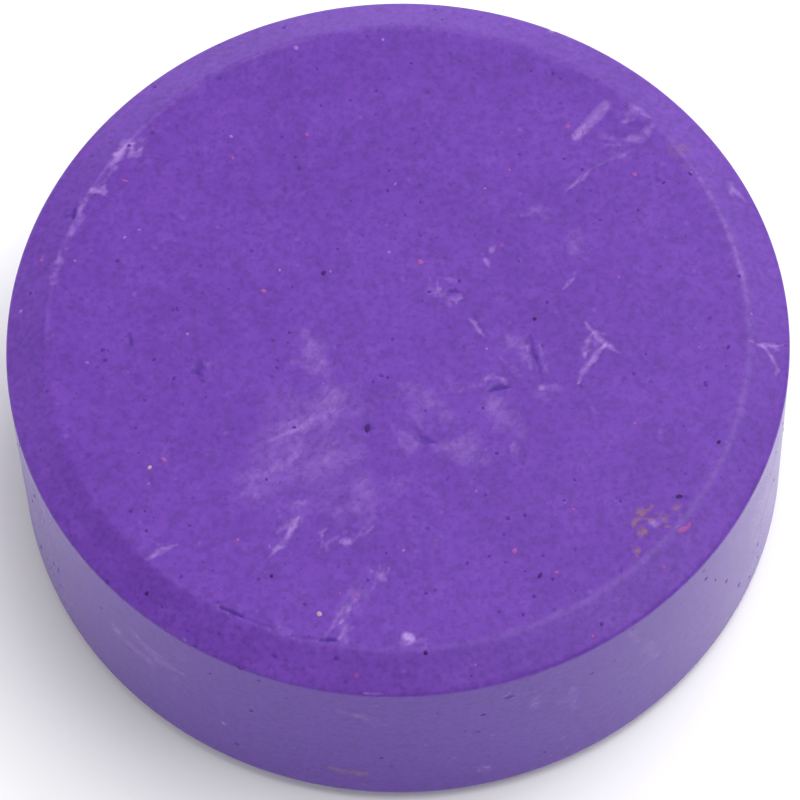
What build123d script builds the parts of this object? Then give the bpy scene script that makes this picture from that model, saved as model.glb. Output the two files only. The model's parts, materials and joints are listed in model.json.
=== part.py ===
from build123d import *
import os

os.makedirs("parts", exist_ok=True)

# Purple puck crayon: one piece of cast wax, made in a single pour.
# Origin at the centre of the face that it rests on, +Z up through the axis of
# the disc. All sizes are in millimetres.

# ---- driving dimensions ------------------------------------------------------
DIAMETER = 57.0        # across the straight wall
HEIGHT = 20.0          # resting face to drawing face
BEVEL_WIDTH = 2.9      # radial width of the cone around each flat face
BEVEL_HEIGHT = 1.3     # drop of that cone, from the flat face to the wall
FACE_EDGE_R = 0.5      # soft edge where a flat face turns into its cone
WALL_EDGE_R = 0.3      # slightly crisper edge where the cone turns into the wall

# ---- derived -----------------------------------------------------------------
WALL_R = DIAMETER / 2
FACE_R = WALL_R - BEVEL_WIDTH
WALL_BOTTOM = BEVEL_HEIGHT
WALL_TOP = HEIGHT - BEVEL_HEIGHT


def turned_profile():
    """Right half of the disc's section, from the axis out to the wall."""
    with BuildSketch(Plane.XZ) as section:
        with BuildLine():
            Polyline(
                (0, 0),
                (FACE_R, 0),
                (WALL_R, WALL_BOTTOM),
                (WALL_R, WALL_TOP),
                (FACE_R, HEIGHT),
                (0, HEIGHT),
                close=True,
            )
        make_face()
        corners = section.vertices()
        fillet(corners.filter_by(lambda v: abs(v.X - FACE_R) < 1e-6), FACE_EDGE_R)
        corners = section.vertices()
        fillet(corners.filter_by(lambda v: abs(v.X - WALL_R) < 1e-6 and
                                 min(abs(v.Z - WALL_BOTTOM), abs(v.Z - WALL_TOP)) < 1e-6),
               WALL_EDGE_R)
    return section.sketch


crayon_body = revolve(turned_profile(), axis=Axis.Z, revolution_arc=360)
crayon_body.label = "crayon_body"

export_step(crayon_body, "parts/crayon_body.step")
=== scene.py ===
import json
import math
import random
from dataclasses import dataclass

import bmesh
import bpy
import numpy as np
from mathutils import Matrix, Vector


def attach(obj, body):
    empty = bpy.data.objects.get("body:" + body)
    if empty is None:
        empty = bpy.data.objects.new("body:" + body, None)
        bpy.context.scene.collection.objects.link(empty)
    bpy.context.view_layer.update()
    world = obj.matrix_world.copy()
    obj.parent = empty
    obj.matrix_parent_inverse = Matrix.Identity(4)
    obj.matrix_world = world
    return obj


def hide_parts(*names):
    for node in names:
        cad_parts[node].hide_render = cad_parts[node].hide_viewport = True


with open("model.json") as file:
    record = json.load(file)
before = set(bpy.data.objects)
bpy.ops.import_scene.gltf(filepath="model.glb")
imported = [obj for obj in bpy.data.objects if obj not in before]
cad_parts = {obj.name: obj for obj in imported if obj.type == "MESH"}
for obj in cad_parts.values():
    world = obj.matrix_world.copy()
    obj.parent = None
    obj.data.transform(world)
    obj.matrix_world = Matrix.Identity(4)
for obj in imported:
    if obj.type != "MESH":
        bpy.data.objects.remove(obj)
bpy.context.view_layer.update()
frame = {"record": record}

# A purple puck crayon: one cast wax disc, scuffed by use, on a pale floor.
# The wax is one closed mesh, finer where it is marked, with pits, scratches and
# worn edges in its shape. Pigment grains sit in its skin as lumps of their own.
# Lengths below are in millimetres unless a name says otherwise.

MM = 0.001
FAR = 1e9                  # further than anything on the disc

# ---- size of the disc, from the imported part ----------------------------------
MOUNTS = {mount["name"]: mount for mount in frame["record"]["mounts"]}
WALL_R = MOUNTS["rim_wall"]["dims"]["r_mm"]
HEIGHT = MOUNTS["top_face"]["pos_m"][2] / MM
BEVEL_WIDTH = 2.9
BEVEL_HEIGHT = 1.3
FACE_R = WALL_R - BEVEL_WIDTH
CONE = math.hypot(BEVEL_WIDTH, BEVEL_HEIGHT)
WALL_HEIGHT = HEIGHT - 2 * BEVEL_HEIGHT
FACE_EDGE_SOFT = 0.32      # reach of the soft edge between a flat face and its bevel
WALL_EDGE_SOFT = 0.22      # reach of the soft edge between a bevel and the wall


def put(name, data):
    """A new object in the scene."""
    thing = bpy.data.objects.new(name, data)
    bpy.context.scene.collection.objects.link(thing)
    return thing


# ---- smooth random fields ----------------------------------------------------
HASH_X, HASH_Y, HASH_Z = 73856093, 19349663, 83492791
HASH_SEED, HASH_MIX = 7919, 1274126177
SEED_SHIFT = 17.31         # moves the cells, so that no two seeds share their edges


def noise(points, size, seed):
    """Smooth noise from -1 to 1 whose blobs are about `size` across."""
    scaled = points / size + seed * SEED_SHIFT
    base = np.floor(scaled)
    part = scaled - base
    part = part * part * (3 - 2 * part)
    base = base.astype(np.int64)
    total = np.zeros(len(points))
    for corner in range(8):
        step = np.array([corner & 1, corner >> 1 & 1, corner >> 2 & 1])
        cell = base + step
        mixed = cell[:, 0] * HASH_X ^ cell[:, 1] * HASH_Y ^ cell[:, 2] * HASH_Z ^ seed * HASH_SEED
        mixed = (mixed ^ mixed >> 13) * HASH_MIX & 0x7FFFFFFF
        value = (mixed ^ mixed >> 16) % 65536 / 32767.5 - 1
        weight = np.prod(np.where(step == 1, part, 1 - part), axis=1)
        total += weight * value
    return total


def rough_noise(points, size, seed, octaves=3):
    """Noise with finer noise added on top, each octave half the size and strength."""
    return sum(noise(points, size / 2 ** n, seed + n) / 2 ** n for n in range(octaves))


# ---- the disc's surface ------------------------------------------------------
# The surface is a square box lattice pressed into a puck. Square rings become
# circles, so the grid follows the rim. A point is (i, j, k): i and j run from
# -HALF to HALF across the faces, k runs from 0 at the bottom to DEEP at the top.
HALF = 512
FACE_RING = 448            # the ring that becomes the edge of the flat face
DEEP = 320
STEPS_PER_MM = HALF / WALL_R    # near enough, in every direction


def soft_profile(travel):
    """Radius, drop and slope of the half section, by distance from the axis."""
    flat = np.array([1.0, 0.0])
    cone = np.array([BEVEL_WIDTH, BEVEL_HEIGHT]) / CONE
    wall = np.array([0.0, 1.0])
    face_edge = np.array([FACE_R, 0.0])
    wall_edge = np.array([WALL_R, BEVEL_HEIGHT])
    travel = travel[:, None]
    past_face = travel - FACE_R
    past_cone = past_face - CONE
    place = np.where(past_face < 0, travel * flat, face_edge + past_face * cone)
    place = np.where(past_cone < 0, place, wall_edge + past_cone * wall)
    slope = np.where(past_face < 0, flat, np.where(past_cone < 0, cone, wall))
    for past, corner, before, after, reach in (
            (past_face, face_edge, flat, cone, FACE_EDGE_SOFT),
            (past_cone, wall_edge, cone, wall, WALL_EDGE_SOFT)):
        turn = np.clip((past + reach) / (2 * reach), 0, 1)
        bend = corner - before * reach * (1 - turn) ** 2 + after * reach * turn ** 2
        near = np.abs(past) < reach
        place = np.where(near, bend, place)
        slope = np.where(near, before * (1 - turn) + after * turn, slope)
    slope /= np.linalg.norm(slope, axis=1, keepdims=True)
    return place[:, 0], place[:, 1], slope


def surface(lattice):
    """Points and outward normals of the plain disc at lattice places."""
    i, j, k = np.asarray(lattice, float).T
    ring = np.maximum(np.abs(i), np.abs(j))
    safe_i = np.where(i == 0, 1, i)
    safe_j = np.where(j == 0, 1, j)
    wide = np.abs(i) >= np.abs(j)
    angle = np.where(wide, math.pi / 4 * j / safe_i + np.where(i < 0, math.pi, 0),
                     math.pi / 2 - math.pi / 4 * i / safe_j + np.where(j < 0, math.pi, 0))
    on_face = np.minimum(ring / FACE_RING, 1) * FACE_R
    on_cone = np.maximum(ring - FACE_RING, 0) / (HALF - FACE_RING) * CONE
    on_wall = np.minimum(k, DEEP - k) / DEEP * WALL_HEIGHT
    radius, drop, slope = soft_profile(on_face + on_cone + on_wall)
    upper = np.where(k * 2 >= DEEP, 1.0, -1.0)
    height = HEIGHT / 2 + upper * (HEIGHT / 2 - drop)
    cos, sin = np.cos(angle), np.sin(angle)
    points = np.stack([radius * cos, radius * sin, height], axis=1)
    normals = np.stack([slope[:, 1] * cos, slope[:, 1] * sin, slope[:, 0] * upper], axis=1)
    return points, normals


def on_top(x, y):
    """The point of the upper side, flat face or bevel, above (x, y)."""
    radius = math.hypot(x, y)
    return x, y, HEIGHT - max(0, radius - FACE_R) * BEVEL_HEIGHT / BEVEL_WIDTH


def on_rim(degrees, radius):
    """A point of the upper side by direction and distance from the axis."""
    angle = math.radians(degrees)
    return on_top(radius * math.cos(angle), radius * math.sin(angle))


def on_wall(degrees, height):
    """A point of the wall; 270 degrees is the front."""
    angle = math.radians(degrees)
    return WALL_R * math.cos(angle), WALL_R * math.sin(angle), height


# ---- marks -------------------------------------------------------------------
MARK_REACH = 1.9           # half widths out to which a mark changes anything
SWAY_BLOB = 0.9            # size of the waves that push a mark's line about
RIPPLE_BLOB = 0.3          # size and strength of the finer waves on them
RIPPLE = 0.6
SIDE_PLACE = 1.15          # where the lip lies and how wide it is, in half widths
SIDE_SPREAD = 0.32
MOST_TINT = (2, 1, 1)      # the most pale, dark and brown where marks overlap


def rounded(path):
    """The same path with its corners cut twice, so that it bends softly."""
    for _ in range(2 if len(path) > 2 else 0):
        starts, ends = path[:-1], path[1:]
        cut = np.stack([starts * 0.75 + ends * 0.25, starts * 0.25 + ends * 0.75], axis=1)
        path = np.concatenate([path[:1], cut.reshape(-1, 3), path[-1:]])
    return path


@dataclass
class Mark:
    """A blemish along a path, and how it changes the wax's shape and colour.

    A place given by x and y alone lies on the upper side.
    """
    path: list
    width: float
    depth: float = 0.0        # pressed in, at the middle
    lip: float = 0.0          # raised along its sides
    pale: float = 0.0         # painted shade in dents, grooves and pits; darker dirt and tone on flat patches
    dark: float = 0.0         # shadowed or dirty
    brown: float = 0.0        # stained
    edge_pale: float = 0.0    # pale only along its sides
    ragged: float = 0.35      # how uneven its outline is
    patchy: float = 0.4       # how much its paleness comes and goes
    taper: float = 0.7        # 0 has round ends, 1 has pointed ends
    cell: float = 2.0         # lattice steps of the finest mesh it needs

    def __post_init__(self):
        places = [on_top(*place) if len(place) == 2 else place for place in self.path]
        self.path = rounded(np.array(places, float))
        self.reach = MARK_REACH * self.width / 2

    def nearby(self, points, margin):
        """Which points lie in the box around the path."""
        low = self.path.min(axis=0) - self.reach - margin
        high = self.path.max(axis=0) + self.reach + margin
        return np.all((points > low) & (points < high), axis=1)

    def distance(self, points):
        """Distance from the path, and how far along it from 0 to 1."""
        best = np.full(len(points), FAR)
        along = np.full(len(points), 0.5)
        single = len(self.path) == 1
        starts, ends = (self.path, self.path) if single else (self.path[:-1], self.path[1:])
        lengths = np.linalg.norm(ends - starts, axis=1)
        whole = max(lengths.sum(), 1e-9)
        walked = 0.0
        for start, end, length in zip(starts, ends, lengths):
            run = end - start
            share = np.clip((points - start) @ run / max(length ** 2, 1e-9), 0, 1)
            gap = np.linalg.norm(points - start - share[:, None] * run, axis=1)
            closer = gap < best
            best = np.where(closer, gap, best)
            if not single:
                along = np.where(closer, (walked + share * length) / whole, along)
            walked += length
        return best, along


def three_noises(points, size, seed):
    """A random direction at each point, from three separate noises."""
    return np.stack([noise(points, size, seed + shift) for shift in (0, 40, 80)], axis=1)


def apply_marks(points, marks):
    """Height change and the pale, dark and brown amounts that the marks make.

    The place of a mark in the list seeds its unevenness.
    """
    height = np.zeros(len(points))
    tint = np.zeros((len(points), 3))
    for number, mark in enumerate(marks):
        chosen = np.flatnonzero(mark.nearby(points, 0))
        if not len(chosen):
            continue
        local = points[chosen]
        sway = three_noises(local, SWAY_BLOB, 700 + number)
        sway += RIPPLE * three_noises(local, RIPPLE_BLOB, 800 + number)
        gap, along = mark.distance(local + sway * min(0.16, 0.28 * mark.width) * mark.ragged)
        half = mark.width / 2 * (1 - mark.taper * np.abs(2 * along - 1) ** 2)
        wander = rough_noise(local, max(mark.width * 0.8, 0.3), 100 + number, 2)
        reach = gap / np.maximum(half, 0.02) * (1 + mark.ragged * wander)
        core = np.clip(1 - reach ** 2, 0, 1) ** 1.5
        side = np.exp(-((reach - SIDE_PLACE) / SIDE_SPREAD) ** 2)
        broken = np.clip(0.75 + 0.6 * noise(local, max(mark.width, 0.5), 300 + number), 0, 1)
        cloud_size = min(0.35 + mark.width * 0.3, 1.3)
        cloudy = np.clip(0.5 + 1.1 * rough_noise(local, cloud_size, 500 + number), 0, 1.3)
        height[chosen] += mark.lip * side * broken - mark.depth * core
        tint[chosen, 0] += mark.pale * core * (1 - mark.patchy + mark.patchy * cloudy)
        tint[chosen, 0] += mark.edge_pale * side * broken
        # the dark amount is painted shade in dents, grooves and pits, and darker dirt on smudges
        tint[chosen, 1] += mark.dark * core
        tint[chosen, 2] += mark.brown * core * broken
    return height, np.clip(tint, 0, MOST_TINT)


def pit(place, width, depth, lip=0.0):
    """A small round hole, with painted shade inside; a raised lip is rubbed pale."""
    return Mark([place], width, depth, lip, edge_pale=0.1 if lip else 0.0, dark=0.5, ragged=0.6)


def scratch(*places, width, pale, **extra):
    """A fine groove with powdery, pale wax along it."""
    settings = dict(depth=0.04, lip=0.01, ragged=0.7, patchy=0.7, cell=2)
    return Mark(list(places), width, pale=pale, **(settings | extra))


def groove(*places, width, **extra):
    """A groove with painted shade along it, without powder."""
    return scratch(*places, width=width, pale=0, **(dict(depth=0.02) | extra))


def faint(*places, **extra):
    """A scratch with hardly any depth."""
    return scratch(*places, depth=0.01, **extra)


def rub(*places, width, pale, **extra):
    """A soft area rubbed pale, with hardly any depth."""
    settings = dict(depth=0.012, ragged=0.9, patchy=0.85, taper=0.4, cell=4)
    return Mark(list(places), width, pale=pale, **(settings | extra))


def dab(*places, **extra):
    """A small rub with a finer outline."""
    return rub(*places, cell=2, **extra)


def smudge(place, width, dark):
    """A soft darker patch."""
    return Mark([place], width, dark=dark, ragged=0.9, cell=4)


def rubbed_zone():
    """The wide cloudy zone left of the middle, with its brighter streaks."""
    return [
        rub((-4.6, -6.2), (-10.5, -11.5), width=10.0, pale=0.18, patchy=0.6),
        rub((-4.6, -6.4), (-8.2, -7.6), width=2.6, pale=0.18, patchy=0.5),
        faint((-3.9, -6.2), (-5.6, -6.6), (-7.6, -7.9), (-9.4, -8.6), width=0.5, pale=0.24, ragged=0.9),
        faint((-6.6, -9.2), (-8.6, -10.6), (-10.2, -11.6), (-12.2, -13.4), width=0.6, pale=0.2,
              ragged=0.9),
        scratch((-10.0, -10.8), (-10.8, -11.8), width=0.6, pale=0.24, depth=0.02, ragged=0.9),
        rub((-3.4, -9.6), (-6.5, -10.6), width=2.2, pale=0.15),
        rub((-6.3, -0.2), (-5.6, -2.4), (-4.6, -5.2), width=1.7, pale=0.26),
        rub((-6.6, -1.4), (-6.2, -4.4), width=1.3, pale=0.18),
        rub((-3.2, -2.2), width=0.9, pale=0.3),
        rub((-3.0, -4.4), (-6.4, -6.0), width=2.0, pale=0.13),
        rub((-0.2, -13.0), (-4.2, -14.8), width=3.0, pale=0.22),
        faint((-1.2, -14.2), (-2.6, -15.4), (-4.0, -17.4), width=0.4, pale=0.2),
    ]


def right_marks():
    """Dents, grooves and the forked scratch right of the middle."""
    return [
        # a short dent with painted shade in it and broken pale edges
        groove((3.6, 3.0), (4.7, 2.9), width=0.44, dark=0.85, depth=0.05),
        faint((3.0, 3.9), (3.2, 2.8), (3.8, 2.5), (4.6, 2.4), width=0.5, pale=0.42, ragged=0.9),
        faint((4.9, 2.8), (4.3, 1.8), width=0.5, pale=0.36),
        faint((3.6, 4.0), (4.7, 3.6), width=0.5, pale=0.24),
        rub((2.7, 3.6), (2.9, 2.6), width=1.2, pale=0.2),
        scratch((5.4, 0.7), (6.3, -1.0), width=0.55, pale=0.5, depth=0.02, patchy=0.4),
        groove((5.2, 1.3), (5.8, 0.5), (6.6, -1.0), width=0.36, dark=0.42),
        # the upright groove, with painted shade along it and pale wax on both sides and below it
        groove((9.5, -0.8), (9.8, -2.5), (10.3, -4.7), width=0.5, depth=0.04, dark=0.45, lip=0,
               taper=0.4),
        groove((9.7, -1.8), (9.9, -3.1), width=0.48, depth=0.03, dark=0.5, lip=0),
        rub((8.0, -1.0), (8.9, -2.1), (9.3, -3.4), width=1.7, pale=0.25),
        faint((9.4, -1.9), (9.5, -3.8), width=0.45, pale=0.3),
        faint((10.2, -1.5), (10.7, -4.1), width=0.45, pale=0.25),
        faint((7.2, -2.5), (8.9, -4.5), width=0.6, pale=0.2),
        dab((10.2, -5.2), width=0.9, pale=0.42),
        rub((10.5, -5.8), width=1.6, pale=0.18),
        # a small crescent dent with painted shade in it and a pale arc over it
        groove((6.4, -5.3), (7.0, -5.0), (7.7, -5.1), width=0.8, dark=1.0, depth=0.07, taper=0.5,
               ragged=0.4),
        faint((5.8, -5.1), (6.0, -4.5), (6.8, -4.1), (7.6, -4.4), (7.9, -5.3), width=0.55, pale=0.4),
        groove((6.2, -4.7), (6.9, -4.1), width=0.3, dark=0.4),
        # the short curved dent in front of it, with painted shade in it and rubbed wax on its left
        groove((0.4, -7.5), (1.2, -8.4), (1.7, -8.9), width=0.7, dark=0.28),
        groove((1.3, -8.7), (1.8, -9.0), (2.5, -9.3), width=0.66, dark=0.72, depth=0.04, taper=0.6),
        faint((-0.7, -7.9), (0.3, -8.7), (1.1, -9.2), width=0.7, pale=0.26, ragged=0.9),
        rub((-0.2, -8.9), (0.6, -9.6), width=1.6, pale=0.22),
        rub((2.6, -9.9), (4.4, -9.6), width=1.2, pale=0.2),
        smudge((3.0, -8.9), 0.7, 0.3),
        Mark([(-2.45, -8.3), (-2.3, -7.6)], 0.95, depth=0.02, dark=0.5, ragged=0.5),
        rub((1.4, -6.4), (3.2, -7.2), width=3.2, pale=0.2),
        rub((6.4, -6.2), (8.6, -8.6), width=3.2, pale=0.2),
        rub((3.0, -5.0), (5.5, -4.8), width=0.8, pale=0.2),
        rub((3.6, -9.9), (7.0, -10.8), width=1.8, pale=0.2),
        rub((8.1, -10.3), width=0.9, pale=0.4),
        # the forked scratch, an open triangle of fine lines
        scratch((13.5, 0.1), (14.4, -1.1), (14.9, -1.7), (16.0, -2.7), width=0.58, pale=0.5,
                ragged=0.5, patchy=0.35),
        scratch((15.0, -1.8), (14.0, -3.0), (12.9, -5.0), width=0.6, pale=0.58, ragged=0.5,
                patchy=0.35),
        scratch((14.2, -0.8), (13.7, -2.0), (13.5, -3.1), width=0.42, pale=0.36, patchy=0.35),
        dab((14.4, -1.7), width=1.2, pale=0.22, patchy=0.5),
        groove((14.0, -1.7), (13.8, -2.9), width=0.34, dark=0.3, brown=0.25),
        # short pale dashes
        scratch((13.2, 3.8), (12.1, 2.7), width=0.5, pale=0.55, ragged=0.5),
        scratch((14.3, -7.5), (13.7, -6.9), width=0.35, pale=0.45),
        scratch((7.5, 6.5), (7.0, 5.9), width=0.5, pale=0.45),
        scratch((6.6, 5.5), (6.9, 4.7), width=0.45, pale=0.4),
        rub((13.5, 6.8), width=1.6, pale=0.25),
        rub((11.3, 8.9), width=1.2, pale=0.2),
        groove((-2.4, -5.8), (0.6, -5.0), width=0.4, dark=0.32, brown=0.2, depth=0.01),
    ]


def back_right_marks():
    """The scraped patch, the spotted patch and the long scratch near the rim."""
    return [
        dab((16.1, 18.1), (13.8, 15.5), width=1.15, pale=0.6, taper=0.15, ragged=0.2, patchy=0.35,
            depth=0.03),
        dab((14.1, 15.9), width=0.9, pale=0.45),
        smudge((18.4, 16.2), 1.1, 0.4),
        dab((17.6, 17.2), (18.5, 17.7), (19.3, 17.0), width=1.1, pale=0.42, patchy=0.5),
        dab((19.3, 16.0), (18.6, 15.1), (17.6, 15.1), width=1.1, pale=0.42, patchy=0.5),
        dab((17.4, 16.5), width=0.7, pale=0.35),
        dab((16.6, 15.4), width=0.9, pale=0.34),
        dab((16.2, 14.0), width=0.8, pale=0.28),
        Mark([(20.5, 14.5), (21.2, 13.3)], 1.0, brown=0.2, dark=0.2, ragged=0.9),
        scratch((12.7, 10.8), (15.1, 12.9), width=0.45, pale=0.5, ragged=0.4),
        scratch((15.1, 12.9), (18.5, 14.4), width=0.35, pale=0.25),
        rub((17.0, 13.7), width=1.3, pale=0.16),
        rub((24.8, 11.5), (25.8, 10.2), width=0.9, pale=0.4),
        Mark([(21.6, 14.2)], 0.8, brown=0.4, dark=0.15, ragged=0.9),
        Mark([(21.9, 12.3)], 0.7, brown=0.35, dark=0.15, ragged=0.9),
    ]


def front_marks():
    """Scratches and soft spots in front of the rubbed zone and on the left."""
    return [
        scratch((-7.6, -14.8), (-8.3, -16.5), (-9.8, -17.9), width=0.66, pale=0.52),
        scratch((-8.1, -15.3), (-9.2, -16.1), width=0.45, pale=0.3),
        rub((-7.7, -14.9), width=1.4, pale=0.3),
        scratch((-4.6, -16.4), (-6.1, -17.3), width=0.72, pale=0.45),
        scratch((-5.3, -15.7), (-6.2, -16.3), width=0.5, pale=0.34),
        dab((-5.5, -17.4), width=0.8, pale=0.42),
        dab((-4.4, -16.8), width=0.7, pale=0.36),
        scratch((-16.2, -16.6), (-18.4, -17.6), width=0.8, pale=0.5, ragged=0.6),
        scratch((-3.0, -21.0), (-4.4, -22.2), (-5.7, -24.1), width=0.5, pale=0.28),
        scratch((-4.0, -22.0), (-4.9, -23.3), width=0.4, pale=0.3),
        faint((-1.3, -19.0), (-2.6, -20.8), width=0.5, pale=0.22),
        scratch((-3.9, -23.6), (-5.2, -24.6), width=0.7, pale=0.32),
        rub((-2.6, -19.3), (-4.6, -23.5), width=2.0, pale=0.16),
        faint((-2.2, -15.7), (-3.0, -16.6), width=0.4, pale=0.3),
        dab((-1.3, -19.3), width=0.8, pale=0.4),
        dab((-2.0, -18.9), (-1.8, -20.0), width=0.6, pale=0.34),
        dab((-4.5, -24.5), width=0.8, pale=0.34),
        # left side: a dimple and grooves with painted shade in them
        Mark([(-14.5, -2.6)], 1.25, depth=0.06, dark=0.7, ragged=0.7),
        groove((-14.9, -2.2), (-14.8, -2.9), (-14.2, -3.2), width=0.6, dark=0.7),
        scratch((-14.0, -1.9), (-13.6, -2.4), (-13.7, -3.0), width=0.5, pale=0.4),
        groove((-16.5, 10.6), (-15.6, 9.5), width=0.5, dark=0.42),
        dab((-15.9, 10.4), (-15.3, 9.7), width=0.6, pale=0.3),
        groove((-19.4, 0.5), (-19.3, -0.6), width=0.5, dark=0.85),
        Mark([(-7.3, -20.8)], 0.6, brown=0.4, ragged=0.9),
        Mark([(-7.3, -21.5)], 0.5, brown=0.35, dark=0.3, ragged=0.9),
        smudge((-12.6, 21.7), 1.1, 0.45),
    ]


def edge_marks():
    """Chips, nicks and rubs along the edges of the upper bevel, and the stain."""
    return [
        # the bright chip at the front
        Mark([(-0.2, -24.5), (0.1, -24.6)], 1.15, depth=0.06, pale=1.35, ragged=0.45, patchy=0.4,
             taper=0.0),
        dab((0.4, -24.9), (0.9, -24.8), width=0.6, pale=0.3),
        # long nicks with painted shade in them in the front left of the face's edge, rubbed pale
        # between
        Mark([(-13.5, -21.6), (-11.6, -22.5)], 0.5, depth=0.12, dark=1.0, taper=0.8),
        Mark([(-12.0, -22.4), (-9.6, -23.5)], 0.3, depth=0.04, dark=0.45, taper=0.3),
        Mark([(-6.4, -24.5), (-5.1, -24.6)], 0.5, depth=0.12, dark=1.0),
        Mark([(-8.4, -24.1), (-6.2, -24.5)], 0.32, depth=0.04, dark=0.5),
        dab((-9.9, -23.3), (-8.2, -24.1), width=0.7, pale=0.32),
        # torn and rubbed at the back left
        scratch((-20.8, 13.6), (-20.2, 15.1), (-19.4, 16.5), (-18.9, 16.4), width=0.8, pale=0.6,
                patchy=0.5),
        scratch((-19.1, 16.4), (-18.7, 15.2), (-18.3, 16.1), width=0.8, pale=0.6, patchy=0.5),
        rub((-20.0, 15.6), (-18.6, 16.4), width=1.6, pale=0.3),
        scratch((-22.2, 12.7), (-20.9, 12.4), width=0.65, pale=0.55, patchy=0.4),
        scratch((-20.9, 13.6), (-22.8, 11.6), (-22.9, 10.0), width=0.6, pale=0.34),
        # a nick with painted shade in it
        Mark([(-23.3, 11.1), (-23.5, 10.2)], 0.55, depth=0.12, dark=1.0),
        dab((-22.8, 10.6), (-23.0, 9.8), width=0.8, pale=0.4),
        dab((-23.4, 9.4), (-24.3, 7.6), (-24.9, 5.0), width=1.1, pale=0.36),
        # right: a crack across the bevel and an arc beside it
        scratch(on_rim(355.4, 25.7), on_rim(354.8, 26.6), on_rim(356.4, 28.4), width=0.5, pale=0.6,
                patchy=0.35),
        scratch(on_rim(354.9, 26.6), on_rim(352.5, 27.5), on_rim(350.3, 27.6), width=0.5, pale=0.55,
                patchy=0.35),
        # small chips on the outer edge
        Mark([on_rim(236, 28.4)], 0.5, depth=0.12, pale=0.6),
        Mark([on_rim(233, 28.4)], 0.4, depth=0.10, pale=0.4),
        Mark([on_rim(263, 28.4), on_rim(266, 28.4)], 0.35, depth=0.06, pale=0.5),
        Mark([on_rim(64, 28.4)], 0.5, depth=0.12, pale=0.4),
        # the brown stain by the front right edge, with dark spots round it
        Mark([(16.2, -16.6), (16.8, -15.9), (17.6, -15.3)], 0.85, brown=0.9, ragged=0.9, taper=0.4),
        Mark([(16.4, -16.8), (17.2, -17.2)], 0.8, brown=0.9, ragged=0.9),
        Mark([(16.4, -18.6)], 0.7, brown=0.8, ragged=1.0),
        Mark([(17.9, -16.0), (18.7, -16.1)], 0.75, brown=0.75, ragged=1.0),
        Mark([(19.3, -15.4)], 0.7, brown=0.7, ragged=0.9),
        dab((17.5, -16.3), (18.0, -16.9), width=0.9, pale=0.4),
        dab((19.7, -15.0), (19.6, -16.2), width=0.6, pale=0.34),
        Mark([(19.5, -14.4)], 0.65, depth=0.03, dark=0.85, ragged=0.5),
        smudge((17.6, -19.1), 0.9, 0.4),
        smudge((18.8, -19.6), 0.7, 0.35),
    ]


def wall_marks():
    """Faint rubs and a stain low on the wall, all the way round."""
    return [
        rub(on_wall(226, 14.0), on_wall(229, 12.2), on_wall(235, 12.6), width=2.6, pale=0.26,
            patchy=0.5),
        rub(on_wall(221, 12.0), on_wall(224, 10.6), width=1.8, pale=0.24),
        rub(on_wall(303.6, 17.8), on_wall(305.2, 15.0), width=1.0, pale=0.34),
        rub(on_wall(307, 13.4), on_wall(308.5, 10.1), width=1.6, pale=0.2, patchy=0.6),
        rub(on_wall(293.6, 13.4), on_wall(294.2, 10.4), width=1.4, pale=0.22, patchy=0.6),
        rub(on_wall(288, 14.2), on_wall(287.5, 12.8), width=1.2, pale=0.22),
        rub(on_wall(262, 15.2), on_wall(266, 13.6), width=1.6, pale=0.18),
        rub(on_wall(279, 4.8), on_wall(281, 4.2), width=1.1, pale=0.24),
        scratch(on_wall(241, 7.6), on_wall(241.4, 6.9), width=0.5, pale=0.55),
        Mark([on_wall(257.5, 5.0), on_wall(262.5, 4.7)], 1.1, brown=0.75, ragged=0.9, cell=4),
        pit(on_wall(243, 4.5), 0.6, 0.08, lip=0.008),
        pit(on_wall(284, 15.9), 0.7, 0.08, lip=0.008),
        rub(on_wall(20, 12), on_wall(28, 8), width=3.0, pale=0.22),
        scratch(on_wall(62, 13), on_wall(70, 9.5), on_wall(74, 9), width=0.45, pale=0.5),
        rub(on_wall(105, 9), on_wall(120, 6), width=3.4, pale=0.22),
        scratch(on_wall(131, 14.6), on_wall(137, 12.2), width=0.4, pale=0.45),
        pit(on_wall(95, 12.5), 0.9, 0.12, lip=0.012),
        rub(on_wall(162, 14), on_wall(170, 9), width=2.4, pale=0.2),
        Mark([on_wall(148, 5.2), on_wall(153, 4.4)], 1.2, brown=0.35, ragged=0.9, cell=4),
        scratch(on_wall(186, 6), on_wall(191, 9.5), width=0.4, pale=0.35),
    ]


UPPER_PITS, WALL_PITS, UNDER_SCRATCHES, UNDER_RUBS = 70, 26, 7, 9


def scattered_marks(dice):
    """Random pits on the upper side and the wall, scratches and rubs on the underside."""
    marks = []
    for _ in range(UPPER_PITS):
        turn, radius = dice.uniform(0, 360), WALL_R * math.sqrt(dice.random()) * 0.98
        marks.append(pit(on_rim(turn, radius), dice.uniform(0.25, 0.5), dice.uniform(0.02, 0.05)))
    for _ in range(WALL_PITS):
        turn, height = dice.uniform(0, 360), dice.uniform(2, 18)
        marks.append(pit(on_wall(turn, height), dice.uniform(0.3, 0.5), dice.uniform(0.02, 0.06)))
    for _ in range(UNDER_SCRATCHES):
        x, y, z = on_rim(dice.uniform(0, 360), dice.uniform(3, 22))
        heading, length = math.radians(dice.gauss(45, 25)), dice.uniform(1.2, 4)
        far = (x + length * math.cos(heading), y + length * math.sin(heading), HEIGHT - z)
        marks.append(scratch((x, y, HEIGHT - z), far, width=0.4, pale=0.45, cell=4))
    for _ in range(UNDER_RUBS):
        x, y, z = on_rim(dice.uniform(0, 360), dice.uniform(2, 24))
        marks.append(rub((x, y, HEIGHT - z), (x + 3, y + 2.5, HEIGHT - z), width=dice.uniform(2, 5),
                         pale=dice.uniform(0.15, 0.35), cell=6))
    return marks


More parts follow.
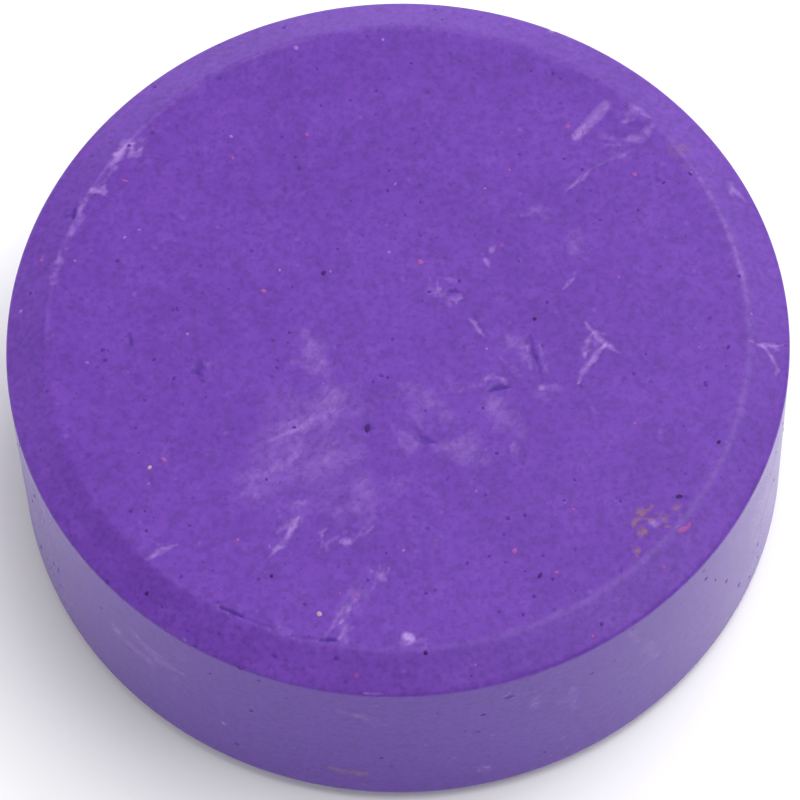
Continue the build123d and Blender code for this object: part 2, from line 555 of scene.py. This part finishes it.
# ---- the wax mesh ------------------------------------------------------------
# Each face of the box starts as coarse squares. A square is cut in four until it
# is fine enough for the nearest edge or mark, and a square beside finer ones takes
# their corners into its outline, so the skin stays closed.
COARSEST = 32              # in lattice steps, like all the sizes here
PLAIN_UPPER = 16.0         # the largest square allowed on the upper half
PLAIN_LOWER = 32.0
EDGE_UPPER = 2             # the largest one within EDGE_REACH of a soft edge
EDGE_LOWER = 4
EDGE_REACH = 3
GROWTH = 1.4               # added to the allowed size by each step away from a mark
BOX_FACES = [              # start corner, first direction, second direction
    ((-HALF, -HALF, DEEP), (1, 0, 0), (0, 1, 0)),
    ((-HALF, -HALF, 0), (0, 1, 0), (1, 0, 0)),
    ((-HALF, -HALF, 0), (1, 0, 0), (0, 0, 1)),
    ((HALF, -HALF, 0), (0, 1, 0), (0, 0, 1)),
    ((HALF, HALF, 0), (-1, 0, 0), (0, 0, 1)),
    ((-HALF, HALF, 0), (0, -1, 0), (0, 0, 1)),
]


def finest_cell(lattice, marks):
    """The largest square, in lattice steps, that may stay whole at each place."""
    points, _ = surface(lattice)
    ring = np.max(np.abs(lattice[:, :2]), axis=1)
    level = lattice[:, 2]
    upper = level * 2 >= DEEP
    flat = (level == 0) | (level == DEEP)
    to_face_edge = np.where(flat, np.abs(ring - FACE_RING), FAR)
    to_wall_edge = np.where(flat, HALF - ring, np.minimum(level, DEEP - level))
    at_edge = np.where(upper, EDGE_UPPER, EDGE_LOWER)
    allowed = np.where(upper, PLAIN_UPPER, PLAIN_LOWER)
    for gap in (to_face_edge, to_wall_edge):
        allowed = np.minimum(allowed, at_edge + np.maximum(gap - EDGE_REACH, 0))
    for mark in marks:
        margin = (allowed.max() - mark.cell) / GROWTH / STEPS_PER_MM
        chosen = np.flatnonzero(mark.nearby(points, margin))
        if not len(chosen):
            continue
        gap, _ = mark.distance(points[chosen])
        beyond = np.maximum(gap - mark.width * 0.65, 0) * STEPS_PER_MM
        allowed[chosen] = np.minimum(allowed[chosen], mark.cell + GROWTH * beyond)
    return allowed


def cut_cells(marks):
    """The corners of every square of the skin, as an array (square, corner, ijk)."""
    squares = []
    for start, first, second in BOX_FACES:
        start, first, second = (np.array(v) for v in (start, first, second))
        tall = 2 * HALF if second[2] == 0 else DEEP
        a, b = np.meshgrid(np.arange(0, 2 * HALF, COARSEST), np.arange(0, tall, COARSEST))
        low = start + a.reshape(-1, 1) * first + b.reshape(-1, 1) * second
        size = COARSEST
        while len(low):
            middle = low + (first + second) * size / 2
            split = (finest_cell(middle, marks) < size) & (size > 1)
            kept = low[~split]
            squares.append(np.stack([kept, kept + first * size, kept + (first + second) * size,
                                     kept + second * size], axis=1))
            low, size = low[split], size // 2
            low = np.concatenate([low, low + first * size, low + second * size,
                                  low + (first + second) * size])
    return np.concatenate(squares)


def lattice_key(lattice):
    """One whole number for each lattice place."""
    span = 2 * HALF + 1
    return ((lattice[..., 0] + HALF) * span + lattice[..., 1] + HALF) * (DEEP + 1) + lattice[..., 2]


def outline(square, known):
    """A square's corners, with the finer corners that lie on its sides."""
    def between(start, end):
        middle = (start + end) // 2
        if np.abs(end - start).max() < 2 or int(lattice_key(middle)) not in known:
            return []
        return between(start, middle) + [int(lattice_key(middle))] + between(middle, end)

    keys = []
    for corner in range(4):
        start, end = square[corner], square[(corner + 1) % 4]
        keys += [int(lattice_key(start))] + between(start, end)
    return keys


def skin(marks):
    """Lattice corners and polygons of the whole closed skin."""
    squares = cut_cells(marks)
    keys = lattice_key(squares)
    known = set(np.unique(keys).tolist())
    middles = (squares + np.roll(squares, -1, axis=1)) // 2
    sizes = np.abs(squares[:, 1] - squares[:, 0]).max(axis=1)
    finer = np.isin(lattice_key(middles), np.fromiter(known, np.int64)).any(axis=1) & (sizes > 1)
    polygons = keys[~finer].tolist()
    polygons += [outline(square, known) for square in squares[finer]]
    order, first_use = np.unique(keys.reshape(-1), return_index=True)
    number = {key: n for n, key in enumerate(order.tolist())}
    corners = squares.reshape(-1, 3)[first_use]
    return corners, [[number[key] for key in polygon] for polygon in polygons]


EVEN_WEAR = 0.16           # share of the wear that goes all the way round
WEAR_AND_HIGHLIGHT_SPOTS = ((0.26, 0.36), (2.45, 0.5))   # direction and spread of the rest, in radians, where the face edge catches the light: painted highlight as well as wear
FACE_WEAR_AND_HIGHLIGHT = 0.42           # how pale the edge of the face gets, from wear and painted highlight, and how far to each side
FACE_WEAR_AND_HIGHLIGHT_REACH = 0.17
WALL_WEAR = 0.10           # the same for the edge of the wall
WALL_WEAR_REACH = 0.16
WEAR_DEPTH = 0.05
FLOOR_ZONE = 0.5           # below this height the skin is pressed in by REST_GAP, so
REST_GAP = 0.02            # that its waves don't reach into the floor


def edge_wear_and_highlight(points, lattice):
    """Pale wear along the two upper edges, most of it at the right and back left, where the face edge's
    paleness is also a painted highlight.
    """
    x, y, z = points.T
    radius, turn = np.hypot(x, y), np.arctan2(y, x)
    upper = lattice[:, 2] * 2 >= DEEP
    face_gap = np.where(upper, np.abs(radius - FACE_R + 0.15), FAR)
    wall_gap = np.where(upper, np.hypot(radius - WALL_R, z - HEIGHT + BEVEL_HEIGHT), FAR)
    share = sum((np.exp(-((turn - spot) / spread) ** 2) for spot, spread in WEAR_AND_HIGHLIGHT_SPOTS), EVEN_WEAR)
    patches = np.clip(0.6 + 0.6 * rough_noise(points, 5.0, 41), 0, 1)
    bits = np.clip(0.8 + 0.5 * rough_noise(points, 0.7, 47, 2), 0, 1)
    wear_and_highlight = FACE_WEAR_AND_HIGHLIGHT * np.exp(-(face_gap / FACE_WEAR_AND_HIGHLIGHT_REACH) ** 2) * patches * bits * share
    return wear_and_highlight + WALL_WEAR * np.exp(-(wall_gap / WALL_WEAR_REACH) ** 2) * patches * bits


def unevenness(points, normals):
    """Gentle waves of the cast surface, weaker on the moulded wall."""
    flat = np.abs(normals[:, 2])
    waves = (0.003 + 0.015 * flat) * rough_noise(points, 11.0, 3, 2)
    return waves + 0.003 * flat * noise(points, 2.2, 9)


def make_wax(marks):
    """The whole disc as one closed mesh, with its marks in shape and colour."""
    lattice, polygons = skin(marks)
    points, normals = surface(lattice)
    height, tint = apply_marks(points, marks)
    height += unevenness(points, normals)
    wear_and_highlight = edge_wear_and_highlight(points, lattice)
    # pale edge wear, with painted highlight on the face edge at the right and back left
    tint[:, 0] += wear_and_highlight
    height -= WEAR_DEPTH * wear_and_highlight
    resting = points[:, 2] < FLOOR_ZONE
    height = np.where(resting, np.minimum(height - REST_GAP, 0), height)
    placed = (points + normals * height[:, None]) * MM
    mesh = bpy.data.meshes.new("wax_disc")
    mesh.from_pydata(placed.tolist(), [], polygons)
    mesh.shade_smooth()
    colours = mesh.color_attributes.new("marks", "FLOAT_COLOR", "POINT")
    upright_wall = 1 - np.clip(np.abs(normals[:, 2]) * 1.6 - 0.4, 0, 1)    # 1 on the upright wall
    colours.data.foreach_set("color", np.column_stack([tint, upright_wall]).ravel())
    return put("wax_disc", mesh)


# ---- pigment grains ----------------------------------------------------------
# Each grain is (x, y, width) on the upper side; some also have their length over
# width, and their heading in degrees.
DARK_GRAINS = [
    (22.7, -0.1, 0.34), (12.9, 20.6, 0.32), (-15.9, 2.4, 0.24, 2.4, 95),
    (14.6, 10.9, 0.30), (18.0, 9.1, 0.28), (-6.7, 13.8, 0.30), (-0.1, 13.3, 0.26), (-7.9, 16.5, 0.28),
    (-20.2, 6.6, 0.32), (-18.4, 6.0, 0.28), (-19.5, -13.8, 0.32),
    (-10.5, -19.6, 0.28), (-7.3, -21.7, 0.28), (4.3, -19.0, 0.30), (5.9, -18.5, 0.28),
    (9.7, -18.6, 0.32), (10.3, -20.5, 0.32), (8.9, -21.8, 0.30), (13.6, -23.8, 0.30),
    (-17.4, -21.0, 0.36), (-12.0, -25.8, 0.34), (-5.2, -25.8, 0.32), (-21.3, -18.7, 0.34),
    (-15.1, -24.0, 0.30), (-16.2, 2.4, 0.28), (15.2, 8.4, 0.26),
    (-0.8, -3.9, 0.24), (4.7, 3.8, 0.30), (-1.9, -4.2, 0.22), (8.1, -23.2, 0.28), (6.4, -22.9, 0.26),
]
DEEP_GRAINS = [
    (-2.4, -7.9, 0.54, 1.7, 72), (9.4, -20.2, 0.28, 2.2, 60),
    (-5.2, 4.9, 0.46, 1.1, 0), (22.7, -10.2, 0.36, 1.2, 30), (10.0, 0.4, 0.34, 1.1, 90),
    (19.6, -14.4, 0.42, 1.3, 10), (-9.6, -19.4, 0.30, 1.1, 0), (1.1, -25.8, 0.33, 1.1, 0),
    (-18.5, -20.0, 0.34, 1.1, 50),
]
PINK_GRAINS = [
    (-9.6, 3.6, 0.40), (-6.1, 16.6, 0.36), (13.2, 16.4, 0.46), (17.9, 12.1, 0.44), (1.9, 5.5, 0.46),
    (-17.1, -9.8, 0.42), (7.7, -18.2, 0.42), (-25.8, 7.2, 0.36), (-19.6, 13.3, 0.20, 2.8, 165),
    (19.8, -16.95, 0.50, 2.2, 15), (20.2, -16.6, 0.40, 1.4, 60),
]
CREAM_GRAINS = [(-18.1, -10.4, 0.34), (-6.3, -22.5, 0.40)]
PALE_GRAINS = [
    (-18.2, -11.7, 0.26), (-6.7, 24.1, 0.40), (-0.2, -17.8, 0.30), (-11.7, 16.7, 0.32),
    (-0.2, 24.5, 0.28), (-18.6, 9.1, 0.30), (-0.4, 6.4, 0.28), (-15.2, 0.3, 0.26),
    (-22.5, -1.7, 0.28), (-27.4, 3.2, 0.34), (-4.7, 5.0, 0.26),
]


HALO_WIDTH = 2.4           # in grain widths
GRAIN_FLATNESS = 0.3       # height over width
GRAIN_SUNK = 0.07          # how far the middle lies under the skin, in grain widths
GRAIN_ROUGH = 0.25         # how far a lump is from a smooth ellipsoid
GRAIN_STRETCH = 1.15       # length over width of the grains that don't give it, and
HEADING_PER_MM = 97        # their heading in degrees, over x
UPPER_SPOTS = 0.38         # draws below this lie on the upper side, and from there
FLAT_SPOTS = 0.66          # up to this on the underside


def grain_halos():
    """The darker wax around each large dark grain."""
    halos = []
    for x, y, width, *_ in DARK_GRAINS + DEEP_GRAINS:
        halos.append(Mark([(x, y)], HALO_WIDTH * width, dark=0.22, ragged=0.4, cell=4))
    return halos


def facing(place):
    """The outward direction of the plain disc's surface at one of its points."""
    x, y, z = place
    radius = math.hypot(x, y)
    side = 1 if z * 2 >= HEIGHT else -1
    if BEVEL_HEIGHT < z < HEIGHT - BEVEL_HEIGHT:
        return np.array([x / radius, y / radius, 0])
    if radius <= FACE_R:
        return np.array([0, 0, side])
    lean, rise = BEVEL_HEIGHT / CONE, BEVEL_WIDTH / CONE
    return np.array([x / radius * lean, y / radius * lean, side * rise])


def skin_point(place, marks):
    """The point and direction of the finished skin over a place on the plain disc."""
    point, normal = np.array([place], float), facing(place)
    height = apply_marks(point, marks)[0] + unevenness(point, normal[None])
    return point[0] + normal * height[0], normal


def scattered_grains(dice, count, low, high, wall_share=0.34):
    """Random grains over every side, with `wall_share` of them on the wall.

    Each is a place, a width, its length over width, and a heading in degrees.
    """
    grains = []
    for _ in range(count):
        turn, spot = dice.uniform(0, 360), dice.random() / (1 - wall_share) * FLAT_SPOTS
        x, y, z = on_rim(turn, WALL_R * math.sqrt(dice.random()) * 0.985)
        if spot < UPPER_SPOTS:
            place = (x, y, z)
        elif spot < FLAT_SPOTS:
            place = (x, y, HEIGHT - z)
        else:
            place = on_wall(turn, dice.uniform(BEVEL_HEIGHT + 0.4, HEIGHT - BEVEL_HEIGHT - 0.4))
        grains.append((place, dice.uniform(low, high), dice.uniform(1, 1.6), dice.uniform(0, 180)))
    return grains


def make_grains(name, grains, marks):
    """Closed, uneven lumps sunk in the skin, joined into one piece."""
    ball = bmesh.new()
    bmesh.ops.create_icosphere(ball, subdivisions=2, radius=0.5)
    round_shape = np.array([corner.co for corner in ball.verts])
    triangles = np.array([[corner.index for corner in face.verts] for face in ball.faces])
    ball.free()
    points, faces = [], []
    for number, (place, width, stretch, heading) in enumerate(grains):
        middle, normal = skin_point(place, marks)
        turn = math.radians(heading)
        across = np.cross(normal, (math.cos(turn), math.sin(turn), 0.3))
        across /= np.linalg.norm(across)
        along = np.cross(across, normal)
        uneven = 1 + GRAIN_ROUGH * noise(round_shape + number * 3.7, 0.45, 77)
        local = round_shape * uneven[:, None] * width
        lump = middle - normal * GRAIN_SUNK * width
        lump = lump + local[:, :1] * along * stretch + local[:, 1:2] * across
        points.append(lump + local[:, 2:] * normal * GRAIN_FLATNESS)
        faces.append(triangles + number * len(round_shape))
    mesh = bpy.data.meshes.new(name)
    mesh.from_pydata((np.concatenate(points) * MM).tolist(), [], np.concatenate(faces).tolist())
    mesh.shade_smooth()
    return put(name, mesh)


# ---- node materials ----------------------------------------------------------
MIX_A, MIX_B, MIX_RESULT = 6, 7, 2     # the colour sockets of a Mix node


class Nodes:
    """A material's node tree, with short calls for the nodes used here."""

    def __init__(self, name):
        self.material = bpy.data.materials.new(name)
        self.material.use_nodes = True
        self.tree = self.material.node_tree
        self.tree.nodes.clear()
        self.shader = self.add("ShaderNodeBsdfPrincipled")
        self.add("ShaderNodeOutputMaterial", {"Surface": self.shader.outputs["BSDF"]})
        place = self.add("ShaderNodeTexCoord").outputs["Object"]
        self.place_mm = self.vector("SCALE", place, scale=1 / MM)

    def fill(self, node, sockets):
        """Link each input socket to an output, or set it to a plain value."""
        for name, source in sockets.items():
            if isinstance(source, (int, float, tuple)):
                node.inputs[name].default_value = source
            elif source is not None:
                self.tree.links.new(source, node.inputs[name])

    def add(self, kind, sockets=None, **settings):
        """A new node with its input sockets filled."""
        node = self.tree.nodes.new(kind)
        for name, value in settings.items():
            setattr(node, name, value)
        self.fill(node, sockets or {})
        return node

    def vector(self, operation, first, second=None, scale=None):
        sockets = {0: first, 1: second, "Scale": scale}
        return self.add("ShaderNodeVectorMath", sockets, operation=operation).outputs["Vector"]

    def math(self, operation, *values):
        sockets = dict(enumerate(values))
        return self.add("ShaderNodeMath", sockets, operation=operation).outputs["Value"]

    def ramp(self, value, low, high, out_low=0.0, out_high=1.0):
        """Smoothly from out_low to out_high as the value goes from low to high."""
        sockets = {"Value": value, "From Min": low, "From Max": high,
                   "To Min": out_low, "To Max": out_high}
        node = self.add("ShaderNodeMapRange", sockets, interpolation_type="SMOOTHSTEP")
        return node.outputs["Result"]

    def noise(self, size, detail=2.0, place=None, roughness=0.5):
        sockets = {"Vector": place or self.place_mm, "Scale": 1 / size, "Detail": detail,
                   "Roughness": roughness}
        return self.add("ShaderNodeTexNoise", sockets).outputs["Fac"]

    def specks(self, spacing, share, radius, shift):
        """Round specks in `share` of the cells, up to `radius` in size."""
        moved = self.vector("ADD", self.place_mm, shift)
        cells = self.add("ShaderNodeTexVoronoi", {"Vector": moved, "Scale": 1 / spacing})
        chance = self.add("ShaderNodeSeparateColor", {"Color": cells.outputs["Color"]})
        chosen = self.math("LESS_THAN", chance.outputs["Red"], share)
        reach = self.ramp(chance.outputs["Green"], 0, 1, 0.35 * radius / spacing, radius / spacing)
        inside = self.math("SUBTRACT", 1.0, self.math("DIVIDE", cells.outputs["Distance"], reach))
        return self.math("MULTIPLY", chosen, self.ramp(inside, 0.0, 0.6))

    def mix(self, amount, first, second):
        sockets = {"Factor": amount, MIX_A: first, MIX_B: second}
        return self.add("ShaderNodeMix", sockets, data_type="RGBA").outputs[MIX_RESULT]

    def bump(self, height, distance_mm, before=None):
        sockets = {"Distance": distance_mm * MM, "Height": height, "Normal": before}
        return self.add("ShaderNodeBump", sockets).outputs["Normal"]


def shade(red, green, blue):
    """A colour in linear light, opaque."""
    return red, green, blue, 1.0


# the wax itself, on the upper side, and a painted shade tone of it on the wall
VIOLET = shade(0.128, 0.0372, 0.345)
DEEP_VIOLET = shade(0.117, 0.0325, 0.321)
WALL_SHADE_VIOLET = shade(0.108, 0.0262, 0.350)
# what lies in it and on it
SPECK = shade(0.030, 0.007, 0.11)
# painted shade in dents, grooves, pits and nicks; also the colour of darker dirt on smudges
DIRT_AND_SHADE = shade(0.042, 0.006, 0.20)
POWDER = shade(0.49, 0.31, 0.70)
PALE_SPECK = shade(0.22, 0.12, 0.44)
PINK = shade(0.36, 0.06, 0.25)
BROWN = shade(0.22, 0.102, 0.12)


def wax_material():
    """Pigmented wax: mottled violet, fine grains, rubbed and dirty where marked, with painted shade in
    its dents and a painted shade tone on the wall.
    """
    n = Nodes("violet_wax")
    marks = n.add("ShaderNodeAttribute", attribute_name="marks")
    amounts = n.add("ShaderNodeSeparateColor", {"Color": marks.outputs["Color"]})
    pale, dark, brown = (amounts.outputs[name] for name in ("Red", "Green", "Blue"))

    # streaks run the way the crayon was rubbed, across the face at an angle
    turned = n.add("ShaderNodeMapping", {"Vector": n.place_mm, "Rotation": (0, 0, math.radians(46)),
                                         "Scale": (4.0, 1.0, 1.0)}, vector_type="TEXTURE")
    streaks = n.noise(0.45, 3.0, turned.outputs["Vector"], 0.6)
    grain = n.noise(0.45, roughness=0.6)
    clouds = n.noise(6.0, 3.0)
    blotches = n.noise(1.5)

    colour = n.mix(n.ramp(clouds, 0.35, 0.65), DEEP_VIOLET, VIOLET)
    haze = n.math("MULTIPLY", n.ramp(blotches, 0.45, 0.75), n.ramp(grain, 0.4, 0.65, 0.2, 1.0))
    colour = n.mix(n.math("MULTIPLY", haze, 0.03), colour, POWDER)
    upright_wall = marks.outputs["Alpha"]
    # painted shade: the wall's tone is darker in red and green and bluer than the face, set for how the
    # wall is lit
    colour = n.mix(upright_wall, colour, WALL_SHADE_VIOLET)
    colour = n.mix(n.ramp(n.noise(0.9), 0.35, 0.6, 0.09, 0.0), colour, SPECK)
    colour = n.mix(n.ramp(grain, 0.28, 0.62, 0.25, 0.0), colour, SPECK)

    for strength, tone, spacing, share, radius, shift in (
            (0.30, SPECK, 0.75, 0.8, 0.17, (0.0, 0.0, 0.0)),
            (0.46, SPECK, 1.6, 0.6, 0.24, (3.3, 1.7, 5.1)),
            (0.22, PALE_SPECK, 1.7, 0.6, 0.30, (7.9, 2.3, 0.7)),
            (0.40, PINK, 4.2, 0.4, 0.30, (1.1, 9.4, 3.9))):
        specks = n.specks(spacing, share, radius, shift)
        colour = n.mix(n.math("MULTIPLY", specks, strength), colour, tone)

    powder = n.math("MULTIPLY", pale, n.ramp(streaks, 0.35, 0.65, 0.40, 0.68))
    powder = n.math("MULTIPLY", powder, n.ramp(grain, 0.3, 0.6, 0.7, 1.1))
    colour = n.mix(powder, colour, POWDER)
    # painted shade in dents, grooves and pits, and darker dirt on smudges
    colour = n.mix(n.math("MULTIPLY", dark, n.ramp(grain, 0.3, 0.7, 0.7, 1.0)), colour, DIRT_AND_SHADE)
    colour = n.mix(n.math("MULTIPLY", brown, n.ramp(grain, 0.35, 0.62, 0.3, 1.15)), colour, BROWN)

    rough = n.ramp(n.noise(2.5), 0.3, 0.7, 0.385, 0.415)
    rough = n.math("SUBTRACT", rough, n.math("MULTIPLY", upright_wall, 0.17))
    rough = n.math("ADD", rough, n.math("MULTIPLY", powder, 0.25))
    rough_skin = n.math("SUBTRACT", 1.0, upright_wall)
    normal = n.bump(n.math("MULTIPLY", grain, rough_skin), 0.004)
    normal = n.bump(n.math("MULTIPLY", powder, streaks), 0.02, normal)
    n.fill(n.shader, {
        "Base Color": colour, "Roughness": rough, "Normal": normal, "IOR": 1.45,
        "Specular IOR Level": 0.27, "Subsurface Weight": 0.12,
        "Subsurface Radius": (1.0, 0.4, 1.0), "Subsurface Scale": 0.4 * MM})
    return n.material


def grain_material(name, inner, outer):
    """A lump of pigment, uneven in tone."""
    n = Nodes(name)
    colour = n.mix(n.ramp(n.noise(1.2), 0.35, 0.65), inner, outer)
    normal = n.bump(n.noise(0.1, 1.0), 0.01)
    n.fill(n.shader, {"Base Color": colour, "Normal": normal, "Roughness": 0.65,
                      "Specular IOR Level": 0.15})
    return n.material


def floor_material():
    """Pale studio paper."""
    n = Nodes("pale_floor")
    colour = n.mix(n.noise(40.0), shade(0.88, 0.88, 0.88), shade(0.90, 0.90, 0.90))
    n.fill(n.shader, {"Base Color": colour, "Roughness": 0.9, "Specular IOR Level": 0.2})
    return n.material


# ---- studio ------------------------------------------------------------------
FLOOR_HALF = 3.0           # metres, like the sizes and distances below
PANEL_SIZE = 0.45
PANEL_DISTANCE = 0.7
WORLD_STRENGTH = 0.58
LIGHTS = [                 # name, azimuth and elevation in degrees, watts
    ("key", 0, 70, 2.85),
    ("side", 45, 45, 1.6),
    ("low_right", 66, 20, 0.65),
    ("low_back", 102, 17, 0.90),
    ("left_fill", 155, 24, 0.5),
    ("front_fill", 245, 38, 0.27),
]
CAMERA_DISTANCE = 0.399
CAMERA_ELEVATION = 62.69   # degrees above the floor
CAMERA_ROLL = 2.30         # degrees
LENS_MM = 241.5
SENSOR_MM = 36.0
LOOK_AT_MM = 8.82          # height of the place in the middle of the view


def make_floor():
    """One wide flat square of studio paper."""
    corners = [(x * FLOOR_HALF, y * FLOOR_HALF, 0) for x, y in ((-1, -1), (1, -1), (1, 1), (-1, 1))]
    mesh = bpy.data.meshes.new("floor")
    mesh.from_pydata(corners, [], [(0, 1, 2, 3)])
    mesh.materials.append(floor_material())
    floor = put("floor", mesh)


def soft_light(name, azimuth, elevation, power):
    """A square light panel aimed at the disc; azimuth 0 is right, 90 is behind it."""
    turn, rise = math.radians(azimuth), math.radians(elevation)
    level = math.cos(rise)
    away = Vector((level * math.cos(turn), level * math.sin(turn), math.sin(rise)))
    panel = bpy.data.lights.new(name, "AREA")
    panel.shape = "SQUARE"
    panel.size = PANEL_SIZE
    panel.energy = power
    light = put(name, panel)
    light.location = away * PANEL_DISTANCE + Vector((0, 0, HEIGHT / 2 * MM))
    light.rotation_euler = away.to_track_quat("Z", "Y").to_euler()


def make_lights():
    """The panels, and an even white surround."""
    for light in LIGHTS:
        soft_light(*light)
    world = bpy.data.worlds.new("studio")
    world.use_nodes = True
    backdrop = world.node_tree.nodes["Background"]
    backdrop.inputs["Color"].default_value = (1, 1, 1, 1)
    backdrop.inputs["Strength"].default_value = WORLD_STRENGTH
    bpy.context.scene.world = world


def make_camera():
    """A long lens looking down on the disc, slightly rolled."""
    elevation, roll = math.radians(CAMERA_ELEVATION), math.radians(CAMERA_ROLL)
    target = Vector((0, 0, LOOK_AT_MM * MM))
    back = Vector((0, -math.cos(elevation), math.sin(elevation)))
    right = Vector((1, 0, 0))
    up = back.cross(right)
    tilted_right = right * math.cos(roll) - up * math.sin(roll)
    tilted_up = back.cross(tilted_right)
    camera = put("camera", bpy.data.cameras.new("camera"))
    camera.data.lens = LENS_MM
    camera.data.sensor_width = SENSOR_MM
    camera.data.clip_start = 0.01
    turned = Matrix((tilted_right, tilted_up, back)).transposed().to_4x4()
    camera.matrix_world = Matrix.Translation(target + back * CAMERA_DISTANCE) @ turned
    bpy.context.scene.camera = camera


# ---- make everything ---------------------------------------------------------
def carry(piece, material):
    """Give a piece its material and let it ride on the one body."""
    piece.data.materials.append(material)
    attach(piece, "root")


def add_grains(marks, dice):
    """The kinds of pigment grain; in each, those that stand out come first."""
    for name, known, others, inner, outer in (
            ("deep_grains", DEEP_GRAINS, [], shade(0.030, 0.006, 0.09), shade(0.048, 0.010, 0.14)),
            ("dark_grains", DARK_GRAINS, scattered_grains(dice, 240, 0.18, 0.34),
             shade(0.074, 0.017, 0.215), shade(0.10, 0.024, 0.285)),
            ("pink_grains", PINK_GRAINS, scattered_grains(dice, 20, 0.18, 0.32, 0.1),
             shade(0.28, 0.068, 0.28), shade(0.22, 0.056, 0.30)),
            ("pale_grains", PALE_GRAINS, scattered_grains(dice, 14, 0.14, 0.22, 0.0),
             shade(0.24, 0.12, 0.44), shade(0.19, 0.08, 0.41)),
            ("cream_grains", CREAM_GRAINS, [],
             shade(0.46, 0.36, 0.29), shade(0.34, 0.23, 0.32))):
        placed = [(on_top(x, y), width, *(shape or (GRAIN_STRETCH, HEADING_PER_MM * x)))
                  for x, y, width, *shape in known]
        carry(make_grains(name, placed + others, marks), grain_material(name, inner, outer))


def main():
    """The studio, the marks, the wax that carries them, and the grains."""
    bpy.context.scene.view_settings.view_transform = "Standard"
    make_camera()
    make_floor()
    make_lights()
    marks = rubbed_zone() + right_marks() + back_right_marks() + front_marks() + edge_marks()
    marks += wall_marks() + grain_halos() + scattered_marks(random.Random(7))
    wax = make_wax(marks)
    carry(wax, wax_material())
    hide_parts("crayon_body")
    add_grains(marks, random.Random(23))
    bpy.context.view_layer.update()


main()
